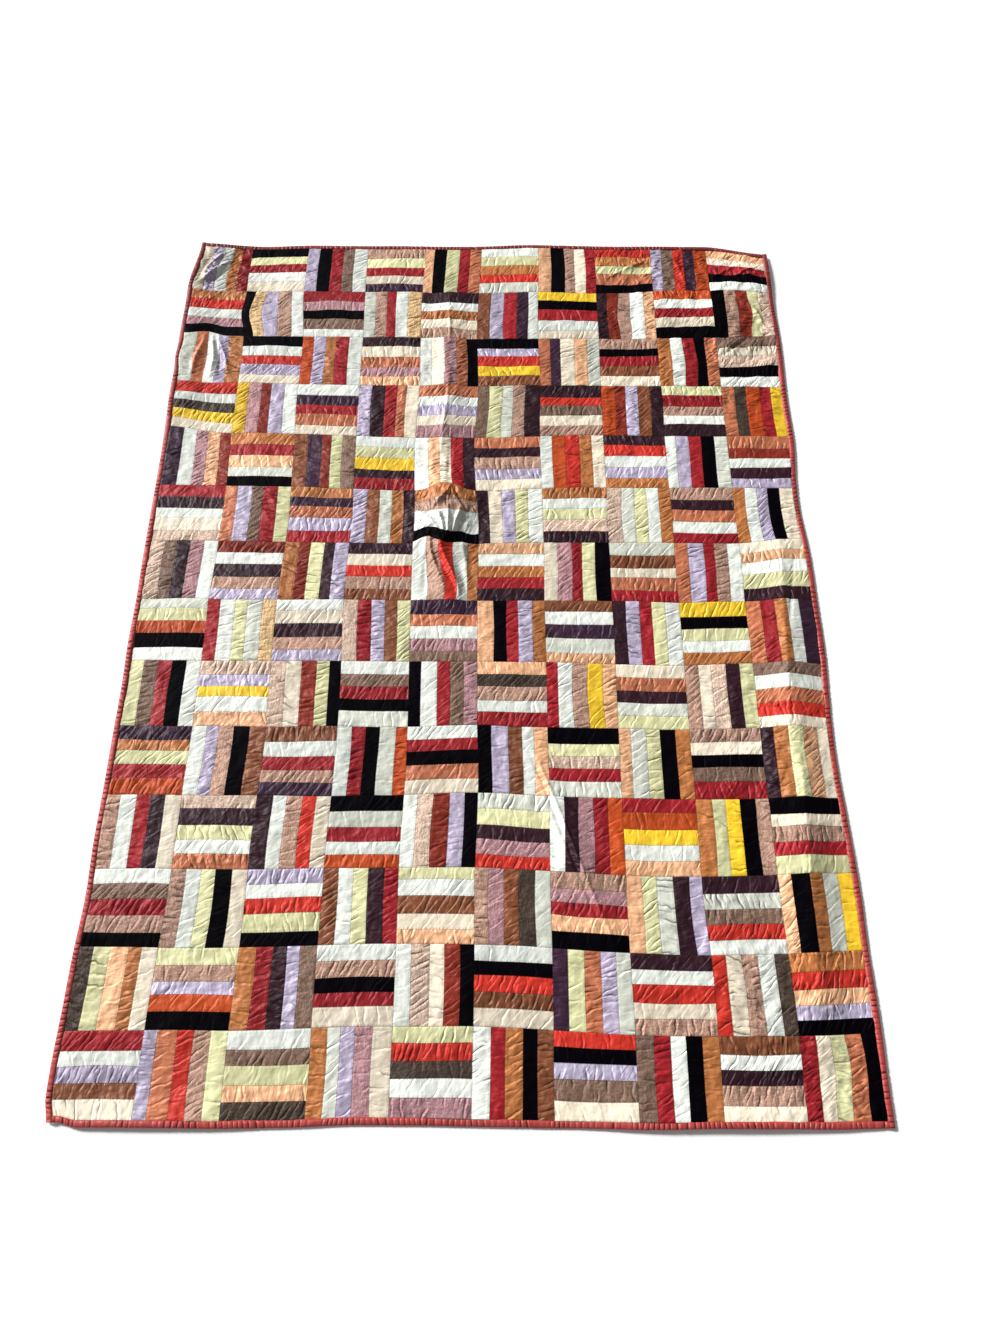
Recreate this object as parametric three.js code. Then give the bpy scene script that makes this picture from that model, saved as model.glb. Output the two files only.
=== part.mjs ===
// Patchwork quilt: a soft sheet of 10 by 14 square blocks, laid out loose and flat, with a narrow
// bound edge on its four sides. Millimetres. X runs across the quilt, Y from its foot to its head,
// Z up. The origin is on the floor under the middle of the quilt.

import * as THREE from "three";
import { mergeVertices } from "three/addons/utils/BufferGeometryUtils.js";

// Driving dimensions
const COLUMNS = 10;
const ROWS = 14;
const BLOCK = 152;              // side of a finished block
const SHEET_THICKNESS = 6;      // patchwork and backing sewn through
const BINDING_WIDTH = 12;       // how much of the binding shows beside the patchwork
const GAP = 0.3;                // between the sheet and its binding
const LINES_PER_BLOCK = 3;      // facets along a block's side
const FINE_LINES_PER_BLOCK = 6; // the same where the sheet is folded more tightly
const FINE_COLUMNS = [4, 9];
const FINE_ROWS = [5, 6];

const HALF_WIDTH = (COLUMNS * BLOCK) / 2;
const HALF_LENGTH = (ROWS * BLOCK) / 2;
const BINDING_IN = GAP;
const BINDING_OUT = GAP + BINDING_WIDTH;

// The binding's section, from the patchwork outwards: how far out, as a share of its width, and the
// heights of its upper and lower faces above the cloth's own underside.
const BINDING_SECTION = [
  { out: 0, upper: 7, lower: 0 },
  { out: 0.6, upper: 7.5, lower: 0 },
  { out: 1, upper: 4.5, lower: 1 },
];

// Where the seams have crept off the square. Places and reaches are in blocks from the left end of
// the head edge, and the shifts are in millimetres, across to the right and along to the head.
const PULLS = [
  { column: 0, row: 0, reach: 1.1, across: 22, along: -6 },
  { column: 0.6, row: 0, reach: 1.6, across: 0, along: -9 },
  { column: 1.6, row: 0.6, reach: 2.2, across: -14, along: 0 },
  { column: 6.2, row: 0, reach: 2, across: 0, along: 8 },
  { column: 8.6, row: 0.8, reach: 1.9, across: 0, along: 13 },
  { column: 10.1, row: 0, reach: 1.2, across: 0, along: -26 },
  { column: 10, row: 2.1, reach: 1.1, across: 4, along: 14 },
  { column: 5, row: 1.6, reach: 1.8, across: -10, along: -3 },
  { column: 5, row: 4.1, reach: 1.8, across: -12, along: 0 },
  { column: 0, row: 4, reach: 1.1, across: 0, along: 17 },
  { column: 4.4, row: 4.7, reach: 2.7, across: 0, along: -13 },
  { column: 2, row: 5.4, reach: 2.1, across: 9, along: -4 },
  { column: 10, row: 5.2, reach: 1.3, across: -9, along: 0 },
  { column: 10, row: 6.3, reach: 1.2, across: 0, along: 14 },
  { column: 7.7, row: 8.1, reach: 1.8, across: 0, along: -7 },
  { column: 2.8, row: 9, reach: 2.6, across: 8, along: 0 },
  { column: 10, row: 9.4, reach: 1.6, across: -8, along: 0 },
  { column: 5, row: 9.8, reach: 1.4, across: 4, along: 9 },
  { column: 8, row: 11.6, reach: 3, across: 0, along: -13 },
  { column: 4.2, row: 12.6, reach: 3, across: 0, along: 11 },
  { column: 0.6, row: 13.4, reach: 2.3, across: -11, along: 3 },
  { column: 8.4, row: 13, reach: 2.2, across: 9, along: 0 },
  { column: 0, row: 14.1, reach: 0.4, across: 9, along: 9 },
];

// Folds that lift the whole sheet off the floor. Places are in blocks as above. The heading is in
// degrees from across the quilt, and the length, width and height are in millimetres.
const FOLDS = [
  { name: "crumpled crown", column: 4.48, row: 5.45, heading: 80, length: 260, width: 200, height: 22 },
  { name: "crown's tail", column: 4.5, row: 6.5, heading: 96, length: 330, width: 110, height: 11 },
  { name: "head ridge", column: 4.5, row: 2.7, heading: 90, length: 760, width: 130, height: 8 },
  { name: "right ridge", column: 9.44, row: 9.6, heading: 87, length: 1180, width: 170, height: 14 },
  { name: "slanting tuck", column: 6.3, row: 10.62, heading: 112, length: 460, width: 90, height: 6 },
  { name: "left edge lift", column: 0, row: 2.1, heading: 88, length: 700, width: 190, height: 11 },
  { name: "head-left corner", column: 0, row: 0, heading: 45, length: 420, width: 300, height: 15 },
  { name: "head-right corner", column: 9.6, row: 0.9, heading: 60, length: 420, width: 260, height: 9 },
  { name: "foot hem, left", column: 1.1, row: 14.1, heading: 0, length: 420, width: 150, height: 7 },
  { name: "foot hem, right", column: 8.1, row: 14.1, heading: 0, length: 560, width: 170, height: 9 },
];

const PATCHWORK_COLOUR = 0xb7958a;
const BINDING_COLOUR = 0xb14a40;

// 1 at the middle of a fold or pull, falling smoothly to 0 at its reach and beyond.
function bell(distance) {
  const t = Math.min(Math.abs(distance), 1);
  return (1 + Math.cos(Math.PI * t)) / 2;
}

function columnToX(column) {
  return column * BLOCK - HALF_WIDTH;
}

function rowToY(row) {
  return HALF_LENGTH - row * BLOCK;
}

// How high the sheet's underside is lifted at a place on the square, untouched cloth.
function liftAt(x, y) {
  let lift = 0;
  for (const fold of FOLDS) {
    const turn = THREE.MathUtils.degToRad(fold.heading);
    const dx = x - columnToX(fold.column);
    const dy = y - rowToY(fold.row);
    const along = dx * Math.cos(turn) + dy * Math.sin(turn);
    const aside = dy * Math.cos(turn) - dx * Math.sin(turn);
    const crest = Math.sqrt(bell(along / (fold.length / 2)));
    lift += fold.height * crest * bell(aside / (fold.width / 2));
  }
  return lift;
}

// Moves a point of the square cloth to where it lies on the floor.
function lay(x, y, height) {
  const laid = new THREE.Vector3(x, y, liftAt(x, y) + height);
  for (const pull of PULLS) {
    const dx = x - columnToX(pull.column);
    const dy = y - rowToY(pull.row);
    const share = bell(Math.hypot(dx, dy) / (pull.reach * BLOCK));
    laid.x += pull.across * share;
    laid.y += pull.along * share;
  }
  return laid;
}

// Facet lines over a run of blocks, in blocks, closer together in the blocks named as fine.
function facetLines(blockCount, fineBlocks) {
  const lines = [];
  for (let block = 0; block < blockCount; block += 1) {
    const steps = fineBlocks.includes(block) ? FINE_LINES_PER_BLOCK : LINES_PER_BLOCK;
    for (let step = 0; step < steps; step += 1) {
      lines.push(block + step / steps);
    }
  }
  lines.push(blockCount);
  return lines;
}

const LINES_ACROSS = facetLines(COLUMNS, FINE_COLUMNS).map(columnToX);
const LINES_ALONG = facetLines(ROWS, FINE_ROWS).map(rowToY).reverse();

// A closed box of cloth with one facet line for each entry of the two lists, each of its points
// then placed by the function shape(across, along, isUpper), which gets line numbers.
function clothSolid(acrossCount, alongCount, shape) {
  const acrossSteps = acrossCount - 1;
  const alongSteps = alongCount - 1;
  const geometry = new THREE.BoxGeometry(1, 1, 1, acrossSteps, alongSteps, 1);
  geometry.deleteAttribute("normal");
  geometry.deleteAttribute("uv");
  geometry.clearGroups();
  const solid = mergeVertices(geometry);
  const points = solid.getAttribute("position");
  for (let index = 0; index < points.count; index += 1) {
    const across = Math.round((points.getX(index) + 0.5) * acrossSteps);
    const along = Math.round((points.getY(index) + 0.5) * alongSteps);
    const placed = shape(across, along, points.getZ(index) > 0);
    points.setXYZ(index, placed.x, placed.y, placed.z);
  }
  solid.computeVertexNormals();
  return solid;
}

function patchworkSheet() {
  return clothSolid(LINES_ACROSS.length, LINES_ALONG.length, (across, along, isUpper) =>
    lay(LINES_ACROSS[across], LINES_ALONG[along], isUpper ? SHEET_THICKNESS : 0));
}

// The two long strips run past the ends of the quilt, so that they cover the short strips' ends.
function sideBinding(side) {
  const stations = [-HALF_LENGTH - BINDING_OUT, ...LINES_ALONG, HALF_LENGTH + BINDING_OUT];
  return clothSolid(BINDING_SECTION.length, stations.length, (across, along, isUpper) => {
    const point = BINDING_SECTION[side > 0 ? across : BINDING_SECTION.length - 1 - across];
    const x = side * (HALF_WIDTH + BINDING_IN + point.out * BINDING_WIDTH);
    return lay(x, stations[along], isUpper ? point.upper : point.lower);
  });
}

function endBinding(end) {
  return clothSolid(LINES_ACROSS.length, BINDING_SECTION.length, (across, along, isUpper) => {
    const point = BINDING_SECTION[end > 0 ? along : BINDING_SECTION.length - 1 - along];
    const y = end * (HALF_LENGTH + BINDING_IN + point.out * BINDING_WIDTH);
    return lay(LINES_ACROSS[across], y, isUpper ? point.upper : point.lower);
  });
}

function satin(colour) {
  return new THREE.MeshStandardMaterial({ color: colour, roughness: 0.42, metalness: 0 });
}

function addPiece(group, name, geometry, colour) {
  const piece = new THREE.Mesh(geometry, satin(colour));
  piece.name = name;
  group.add(piece);
}

const quilt = new THREE.Group();
quilt.name = "patchwork_quilt";
addPiece(quilt, "patchwork_sheet", patchworkSheet(), PATCHWORK_COLOUR);
addPiece(quilt, "binding_left", sideBinding(-1), BINDING_COLOUR);
addPiece(quilt, "binding_right", sideBinding(1), BINDING_COLOUR);
addPiece(quilt, "binding_foot", endBinding(-1), BINDING_COLOUR);
addPiece(quilt, "binding_head", endBinding(1), BINDING_COLOUR);

export default quilt;
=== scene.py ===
import math
import random
from collections import namedtuple

import bpy
import numpy as np
from bpy.props import FloatProperty, FloatVectorProperty, IntProperty, PointerProperty
from mathutils import Matrix, Vector


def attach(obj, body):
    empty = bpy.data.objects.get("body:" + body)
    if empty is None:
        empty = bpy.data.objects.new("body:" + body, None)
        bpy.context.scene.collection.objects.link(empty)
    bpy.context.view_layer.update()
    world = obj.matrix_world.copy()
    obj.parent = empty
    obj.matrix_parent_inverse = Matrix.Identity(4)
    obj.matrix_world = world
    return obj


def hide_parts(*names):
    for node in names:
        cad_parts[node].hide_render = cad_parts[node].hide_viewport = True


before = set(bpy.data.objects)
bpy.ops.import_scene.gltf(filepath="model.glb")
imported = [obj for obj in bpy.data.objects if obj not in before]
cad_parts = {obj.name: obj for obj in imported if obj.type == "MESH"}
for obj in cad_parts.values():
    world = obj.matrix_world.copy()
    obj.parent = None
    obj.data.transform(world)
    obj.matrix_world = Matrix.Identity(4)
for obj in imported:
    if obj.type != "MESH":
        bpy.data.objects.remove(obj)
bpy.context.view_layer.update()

bl_info = {
    "name": "Rail Fence Quilt",
    "version": (1, 0, 0),
    "blender": (4, 5, 0),
    "location": "View3D > Sidebar > Quilt",
    "description": "Makes a pieced satin quilt of rail fence blocks with a gathered binding",
    "category": "Add Mesh",
}

BODY = "root"
SHEET_NODE = "patchwork_sheet"
SIDES = {"left": (-1, 0), "right": (1, 0), "foot": (0, -1), "head": (0, 1)}  # which way each faces

MM = 0.001
COLUMNS = 10
ROWS = 14
STRIPS = 5
CELLS = 55              # mesh cells along a block's side

CUT_SEED = 3
BOW_SEED = 8
STRAY_SEED = 11
BINDING_SWELL_SEED = 27
SWELL_SEED = 29
BINDING_SEED = 31
TINT_SEED = 53
DRAW_SEED = 54
CREASE_SEED = 9000

BAKE_MAP = "OFBake"     # UV map that a baked texture is laid out on
STRIP_MAP = "strip"     # UV map that runs along and across each strip, in metres
EDGE_MAP = "edges"      # UV map from 0 to 1 along and across each strip
CREASE_MAP = "creases"  # UV map across the creases in metres, and of their depth in millimetres
CREASE_STEP = 0.1       # how far apart the creases' lines lie on that map
MOST_CREASED = 1.6      # the strength at which a strip's creases stop growing
COLOUR_LAYER = "cloth_colour"
DRAW_LAYER = "strip_draw"       # a random number for each strip
PAINTED_SHADE_LAYER = "binding_shade"   # painted shade, 1 where the binding is palest and lower towards the head
TIGHT_LAYER = "gathering"       # 0 where the cloth lies plain, 1 and more where it is gathered

# Where the seams have crept off the square: places and reaches in blocks from the left end of the
# head edge, shifts in millimetres, across to the right and along to the head.
Pull = namedtuple("Pull", "column row reach across along")
PULLS = (
    Pull(0, 0, 1.1, 22, -6),
    Pull(0.6, 0, 1.6, 0, -9),
    Pull(1.6, 0.6, 2.2, -14, 0),
    Pull(6.2, 0, 2, 0, 8),
    Pull(8.6, 0.8, 1.9, 0, 13),
    Pull(10.1, 0, 1.2, 0, -26),
    Pull(10, 2.1, 1.1, 4, 14),
    Pull(5, 1.6, 1.8, -10, -3),
    Pull(5, 4.1, 1.8, -12, 0),
    Pull(0, 4, 1.1, 0, 17),
    Pull(4.4, 4.7, 2.7, 0, -13),
    Pull(2, 5.4, 2.1, 9, -4),
    Pull(10, 5.2, 1.3, -9, 0),
    Pull(10, 6.3, 1.2, 0, 14),
    Pull(7.7, 8.1, 1.8, 0, -7),
    Pull(2.8, 9, 2.6, 8, 0),
    Pull(10, 9.4, 1.6, -8, 0),
    Pull(5, 9.8, 1.4, 4, 9),
    Pull(8, 11.6, 3, 0, -13),
    Pull(4.2, 12.6, 3, 0, 11),
    Pull(0.6, 13.4, 2.3, -11, 3),
    Pull(8.4, 13, 2.2, 9, 0),
    Pull(0, 14.1, 0.4, 9, 9),
)

# Folds that lift the whole sheet: places in blocks, heading in degrees from across the quilt, sizes
# in millimetres.
Fold = namedtuple("Fold", "name column row heading length width height")
FOLDS = (
    Fold("crumpled crown", 4.48, 5.45, 80, 260, 200, 22),
    Fold("crown's tail", 4.5, 6.5, 96, 330, 110, 11),
    Fold("head ridge", 4.5, 2.7, 90, 760, 130, 8),
    Fold("right ridge", 9.44, 9.6, 87, 1180, 170, 14),
    Fold("slanting tuck", 6.3, 10.62, 112, 460, 90, 6),
    Fold("left edge lift", 0, 2.1, 88, 700, 190, 11),
    Fold("head-left corner", 0, 0, 45, 420, 300, 15),
    Fold("head-right corner", 9.6, 0.9, 60, 420, 260, 9),
    Fold("foot hem, left", 1.1, 14.1, 0, 420, 150, 7),
    Fold("foot hem, right", 8.1, 14.1, 0, 560, 170, 9),
)

# Sharper creases in the patchwork alone, in the same terms. A height below 0 is a trough.
CREASES = (
    Fold("slanting tuck's edge", 6.3, 10.62, 112, 470, 16, 4.5),
    Fold("slanting tuck's foot", 6.22, 10.62, 112, 440, 14, -4),
    Fold("right ridge's crest, upper", 9.52, 7.5, 86, 620, 90, 6),
    Fold("right ridge's crest, lower", 9.42, 11, 86, 760, 90, 6),
    Fold("crown, fan's first ridge", 4.2, 5.58, 132, 120, 34, 8),
    Fold("crown, fan's first trough", 4.33, 5.62, 122, 90, 22, -8),
    Fold("crown, fan's second ridge", 4.42, 5.64, 108, 80, 22, 8),
    Fold("crown, fan's second trough", 4.47, 5.66, 100, 70, 14, -5),
    Fold("crown, fan's third ridge", 4.53, 5.62, 90, 90, 18, 8),
    Fold("crown, fan's third trough", 4.6, 5.66, 78, 80, 18, -8),
    Fold("crown, fan's fourth ridge", 4.66, 5.58, 70, 100, 24, 8),
    Fold("crown, fan's fourth trough", 4.76, 5.6, 62, 100, 26, -9),
    Fold("crown, left hollow", 4.17, 5.3, 150, 84, 44, -13),
    Fold("crown, left brow", 4.43, 5.24, 38, 70, 22, 10),
    Fold("crown, under the brow", 4.47, 5.35, 40, 66, 20, -7),
    Fold("crown, right brow", 4.67, 5.24, 130, 84, 24, 8),
    Fold("crown, beside the right brow", 4.76, 5.3, 118, 90, 22, -8),
    Fold("tail, left trough", 4.22, 6.4, 84, 170, 26, -6),
    Fold("tail, left ridge", 4.34, 6.38, 100, 190, 30, 9),
    Fold("tail, middle trough", 4.45, 6.4, 108, 180, 26, -8),
    Fold("tail, middle ridge", 4.56, 6.42, 104, 190, 28, 8),
    Fold("tail, right trough", 4.7, 6.4, 104, 170, 24, -6),
    Fold("tail, right ridge", 4.8, 6.3, 98, 150, 28, 6),
    Fold("head pucker, upper", 4.52, 1.6, 92, 190, 20, 4),
    Fold("head pucker, lower", 4.48, 3.5, 88, 260, 20, 4),
    Fold("head pucker's hollow", 4.6, 4.4, 84, 150, 22, -5),
    Fold("corner, first ridge", 0.36, 0.55, 46, 130, 26, 7),
    Fold("corner, first trough", 0.44, 0.66, 44, 130, 26, -6),
    Fold("corner, second ridge", 0.26, 0.32, 52, 100, 22, 5),
    Fold("corner, side trough", 0.1, 0.5, 80, 130, 24, -5),
    Fold("left fan, first ridge", 0.28, 2.46, 80, 140, 26, 8),
    Fold("left fan, first trough", 0.4, 2.5, 86, 130, 20, -6),
    Fold("left fan, second ridge", 0.5, 2.46, 93, 140, 24, 8),
    Fold("left fan, second trough", 0.6, 2.5, 100, 130, 20, -6),
    Fold("left fan, third ridge", 0.7, 2.45, 108, 140, 26, 6),
    Fold("foot tuck", 9.55, 13.75, 128, 130, 24, 5),
    Fold("foot tuck's trough", 9.64, 13.85, 128, 120, 20, -5),
    Fold("right edge crease", 9.7, 6.9, 78, 190, 18, -4),
    Fold("head-right, first ridge", 9.3, 0.5, 40, 120, 20, 5),
    Fold("head-right, second ridge", 9.62, 0.5, 44, 100, 20, 5),
    Fold("head-right, long trough", 9.62, 1.6, 116, 150, 26, -7),
    Fold("head-right, long ridge", 9.72, 1.55, 116, 150, 26, 6),
    Fold("head-right, third trough", 9.3, 2.2, 35, 130, 18, -5),
    Fold("head-right, inner ridge", 8.5, 0.5, 104, 130, 20, 4),
    Fold("head-right, inner crease", 7.6, 0.45, 30, 170, 22, 4),
)

# Seams that the creases drag with them, in the same terms as the pulls.
SEAM_DRAGS = (
    Pull(4.5, 5.04, 0.44, 0, 16),
    Pull(4.2, 5.96, 0.3, 0, 15),
    Pull(4.54, 5.84, 0.26, 0, -10),
    Pull(4.88, 5.84, 0.22, 0, -8),
    Pull(4.46, 6.12, 0.4, -7, 0),
    Pull(4.5, 6.82, 0.45, 11, 0),
    Pull(0.38, 1.94, 0.36, 0, 12),
    Pull(0.16, 2.5, 0.4, -7, 0),
    Pull(0.56, 2.5, 0.4, 7, 0),
    Pull(1.16, 1.5, 0.5, -13, 0),
    Pull(2.5, 1.3, 0.5, 0, 5),
    Pull(8.5, 2.5, 0.5, 5, 0),
    Pull(9.2, 0.66, 0.3, 0, -4),
    Pull(9.74, 0.6, 0.34, 0, 8),
    Pull(9.6, 13.4, 0.5, 5, 0),
    Pull(0.5, 0.6, 0.5, -5, 3),
    Pull(7.4, 1.5, 0.4, -4, 0),
    Pull(9.66, 1.5, 0.4, 8, 0),
)

# Places where the strips are gathered more tightly, with a reach in blocks.
Gather = namedtuple("Gather", "column row reach strength")
GATHERS = (
    Gather(0.4, 0.4, 1.6, 1.2),
    Gather(8.6, 0.6, 2.8, 1.3),
    Gather(9.6, 2.4, 1.8, 1.1),
    Gather(4.5, 2.4, 1.8, 0.7),
    Gather(4.5, 5.4, 1.6, 1.2),
    Gather(7.4, 3.4, 2, 0.7),
    Gather(9.6, 9.5, 2.6, 0.6),
    Gather(9.3, 13.2, 1.8, 0.8),
    Gather(8.4, 12.2, 1.6, 0.5),
)

# The soft unevenness between the creases: bumps a cell apart, in metres, and their share of the
# crumple's height.
Bumps = namedtuple("Bumps", "cell share seed")
BUMPS = (
    Bumps(0.013, 0.35, 25),
    Bumps(0.021, 0.5, 26),
    Bumps(0.032, 1.2, 27),
    Bumps(0.06, 1, 28),
)

# The lining cloths. The share is how often a cloth is drawn within its family, and the cloths
# with none are only ever placed. Creasing is how readily its strips pucker.
Cloth = namedtuple("Cloth", "key family kind share creasing")
CLOTHS = (
    Cloth("black", "dark", "sateen", 0, 0.5),
    Cloth("plum", "dark", "deep", 4, 0.9),
    Cloth("aubergine", "dark", "deep", 2, 1.1),
    Cloth("charcoal", "dark", "brocade", 1, 1),
    Cloth("crimson", "red", "deep", 4, 1.4),
    Cloth("scarlet", "red", "deep", 2, 1.4),
    Cloth("rust", "red", "deep", 1, 1.2),
    Cloth("white", "light", "satin", 5, 0.5),
    Cloth("ivory", "light", "satin", 2, 0.65),
    Cloth("silver", "light", "satin", 1, 0.7),
    Cloth("celery", "cool", "satin", 3, 0.9),
    Cloth("lavender", "cool", "lustre", 3, 1.4),
    Cloth("mauve", "cool", "brocade", 1, 1.5),
    Cloth("rose_taupe", "warm", "brocade", 4, 1.7),
    Cloth("champagne", "warm", "brocade", 1, 1.2),
    Cloth("peach", "warm", "lustre", 3, 1.1),
    Cloth("tan", "warm", "brocade", 1, 1),
    Cloth("copper", "warm", "lustre", 3, 1.7),
    Cloth("caramel", "warm", "lustre", 4, 1.4),
    Cloth("brown", "warm", "lustre", 2, 1.3),
    Cloth("taupe", "warm", "brocade", 2, 1.3),
    Cloth("orange", "warm", "deep", 1, 1.2),
    Cloth("yellow", "bright", "satin", 0, 1.1),
)
CLOTH_NUMBERS = {cloth.key: number for number, cloth in enumerate(CLOTHS)}
FAMILY_OF = {cloth.key: cloth.family for cloth in CLOTHS}

# How each kind of lining cloth ripples, in millimetres of relief, and how it shines. Its roughness
# varies between two values.
Finish = namedtuple("Finish", "kind ripples crumple metallic specular rough_from rough_to")
FINISHES = (
    Finish("satin", 1.6, 1.4, 0.0, 0.4, 0.48, 0.56),
    Finish("lustre", 3.5, 2.1, 0.12, 0.5, 0.46, 0.54),
    Finish("deep", 3.0, 1.9, 0.04, 0.3, 0.46, 0.54),
    Finish("sateen", 1.0, 1.0, 0.0, 0.04, 0.6, 0.7),
    Finish("brocade", 2.4, 1.8, 0.05, 0.3, 0.5, 0.6),
)
CLOTH_KINDS = [finish.kind for finish in FINISHES]

# Bumps in a metre along a strip and across it, for the noise that the finishes share.
RIPPLES = (125, 34)
RIPPLED_PATCHES = (30, 42)
DENTS = (70, 62)
THREADS = (260, 2300)
TONE_PATCHES = (24, 30)
SEAM_GATHERS = (230, 90)
FIGURES = (120, 250)
CRINKLES = (160, 210)

# How readily each family of cloths falls in a block's first to fifth strip, in small whole odds,
# and the most strips of it that one block takes.
Family = namedtuple("Family", "name first second third fourth fifth most")
FAMILIES = (
    Family("dark", 2, 2, 1, 2, 2, 1),
    Family("red", 1, 1, 3, 2, 1, 1),
    Family("light", 3, 4, 2, 3, 4, 2),
    Family("cool", 1, 2, 2, 2, 1, 2),
    Family("warm", 5, 3, 3, 3, 4, 2),
)

# Strips that are placed and not drawn, as row, column and strip from the head and the left.
PLACED = {
    "yellow": (
        (1, 6, 0), (2, 5, 3), (3, 0, 3), (3, 1, 0), (3, 9, 4), (4, 3, 2),
        (7, 8, 0), (8, 1, 2), (8, 6, 3), (10, 7, 2), (10, 8, 2), (11, 9, 4),
    ),
    "black": (
        (0, 1, 0), (0, 2, 1), (0, 4, 1), (0, 6, 1), (0, 7, 4), (0, 9, 3), (1, 0, 4), (1, 1, 0),
        (1, 2, 2), (1, 6, 1), (1, 8, 4), (1, 9, 0), (2, 1, 0), (2, 4, 4), (2, 5, 0), (2, 7, 1),
        (2, 8, 3), (2, 9, 3), (4, 1, 4), (4, 8, 3), (5, 4, 4), (5, 9, 3), (6, 6, 4), (7, 0, 3),
        (7, 5, 1), (7, 8, 1), (8, 0, 3), (8, 2, 4), (8, 3, 3), (8, 4, 0), (9, 1, 3), (9, 3, 2),
        (9, 4, 2), (9, 5, 0), (9, 6, 0), (9, 7, 3), (9, 8, 2), (10, 3, 0), (10, 4, 4), (10, 8, 3),
        (10, 9, 0), (11, 0, 4), (11, 1, 3), (11, 2, 4), (11, 6, 4), (11, 9, 1), (12, 1, 4),
        (12, 3, 2), (12, 4, 4), (12, 5, 1), (12, 9, 4), (13, 5, 3), (13, 6, 1), (13, 7, 3),
        (13, 9, 4),
    ),
    "caramel": ((0, 0, 3), (1, 0, 0), (5, 4, 0), (6, 4, 4)),
    "rose_taupe": ((1, 1, 3), (5, 4, 1), (6, 4, 1)),
    "white": ((0, 0, 2), (1, 1, 4), (2, 0, 2), (5, 4, 2), (5, 4, 3), (6, 4, 0), (6, 4, 3)),
    "scarlet": ((6, 4, 2),),
    "lavender": ((0, 0, 1), (1, 1, 2), (2, 0, 3)),
    "tan": ((1, 1, 1),),
    "copper": ((2, 0, 1),),
}

# The folded binding's section, from under the patchwork over the edge to the underside: how far out
# from the patchwork and how high, in millimetres, and how much of a tuck it takes.
BindingPoint = namedtuple("BindingPoint", "out height tuck")
BINDING_SECTION = (
    BindingPoint(-2.5, 2.6, 0),
    BindingPoint(-0.8, 4.2, 0.3),
    BindingPoint(0.6, 5.9, 0.8),
    BindingPoint(2.2, 6.7, 1),
    BindingPoint(4.4, 6.9, 1),
    BindingPoint(6.8, 6.9, 1),
    BindingPoint(9.2, 6.6, 1),
    BindingPoint(11.0, 5.7, 1),
    BindingPoint(12.0, 4.2, 0.9),
    BindingPoint(12.1, 2.5, 0.6),
    BindingPoint(11.3, 1.1, 0.3),
    BindingPoint(9.0, 0.35, 0),
    BindingPoint(5.0, 0.25, 0),
    BindingPoint(0.5, 0.3, 0),
    BindingPoint(-2.5, 0.8, 0),
)


def linear(value):
    """One sRGB part from 0 to 255 as linear light."""
    share = value / 255
    return share / 12.92 if share <= 0.04045 else ((share + 0.055) / 1.055) ** 2.4


def cloth_colour(label, red, green, blue):
    return FloatVectorProperty(
        name=label,
        description=f"Colour of the {label.lower()}",
        default=(linear(red), linear(green), linear(blue)),
        min=0.0,
        max=1.0,
        subtype="COLOR",
    )


def length(label, description, millimetres):
    return FloatProperty(
        name=label,
        description=description,
        default=millimetres * MM,
        min=0.0,
        precision=5,
        subtype="DISTANCE",
        unit="LENGTH",
    )


class QuiltSizes(bpy.types.PropertyGroup):
    """Sizes of the patchwork and its relief."""
    block: length("Block", "Side of a finished block", 152)
    thickness: length("Thickness", "Height of a strip's crown above the underside", 6.2)
    ditch: length("Seam depth", "How far a seam lies below the strips' crowns", 1.3)
    gather: length("Gathers", "Depth of the short creases across each strip", 2.2)
    crumple: length("Crumple", "Height of the cloth's soft unevenness", 1.6)
    swell: length("Swell", "Height of the broad, low waves in the sheet", 1.6)
    bow: length("Seam bow", "How far a seam strays from straight", 1.8)
    draw_seed: IntProperty(
        name="Draw",
        description="Which draw of the cloths is pieced",
        default=7,
        min=0,
    )


class QuiltBinding(bpy.types.PropertyGroup):
    """Sizes of the folded and gathered edge strip."""
    tuck_spacing: length("Tuck spacing", "Usual distance between two tucks", 11)
    tuck_depth: length("Tuck depth", "How far a tuck draws the strip in", 0.8)
    step: length("Mesh step", "Distance between two sections of the strip", 2)


class QuiltColours(bpy.types.PropertyGroup):
    """Colours of the lining cloths."""
    black: cloth_colour("Black", 3, 1, 5)
    plum: cloth_colour("Plum", 46, 15, 27)
    aubergine: cloth_colour("Aubergine", 58, 30, 52)
    charcoal: cloth_colour("Charcoal", 70, 56, 46)
    crimson: cloth_colour("Crimson", 156, 28, 36)
    scarlet: cloth_colour("Scarlet", 204, 50, 36)
    rust: cloth_colour("Rust", 138, 44, 28)
    white: cloth_colour("White", 234, 238, 228)
    ivory: cloth_colour("Ivory", 236, 222, 198)
    silver: cloth_colour("Silver", 216, 219, 204)
    celery: cloth_colour("Celery", 222, 220, 168)
    lavender: cloth_colour("Lavender", 188, 176, 200)
    mauve: cloth_colour("Mauve", 184, 138, 142)
    rose_taupe: cloth_colour("Rose taupe", 190, 150, 130)
    champagne: cloth_colour("Champagne", 228, 198, 176)
    peach: cloth_colour("Peach", 240, 182, 138)
    tan: cloth_colour("Tan", 226, 188, 136)
    copper: cloth_colour("Copper", 196, 116, 80)
    caramel: cloth_colour("Caramel", 188, 116, 62)
    brown: cloth_colour("Brown", 134, 76, 44)
    taupe: cloth_colour("Taupe", 132, 104, 88)
    orange: cloth_colour("Orange", 188, 74, 26)
    yellow: cloth_colour("Yellow", 250, 204, 46)
    binding: cloth_colour("Binding", 170, 64, 60)
    backing: cloth_colour("Backing", 206, 196, 180)


def amount(label, description, default):
    return FloatProperty(name=label, description=description, default=default, min=0.0)


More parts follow.
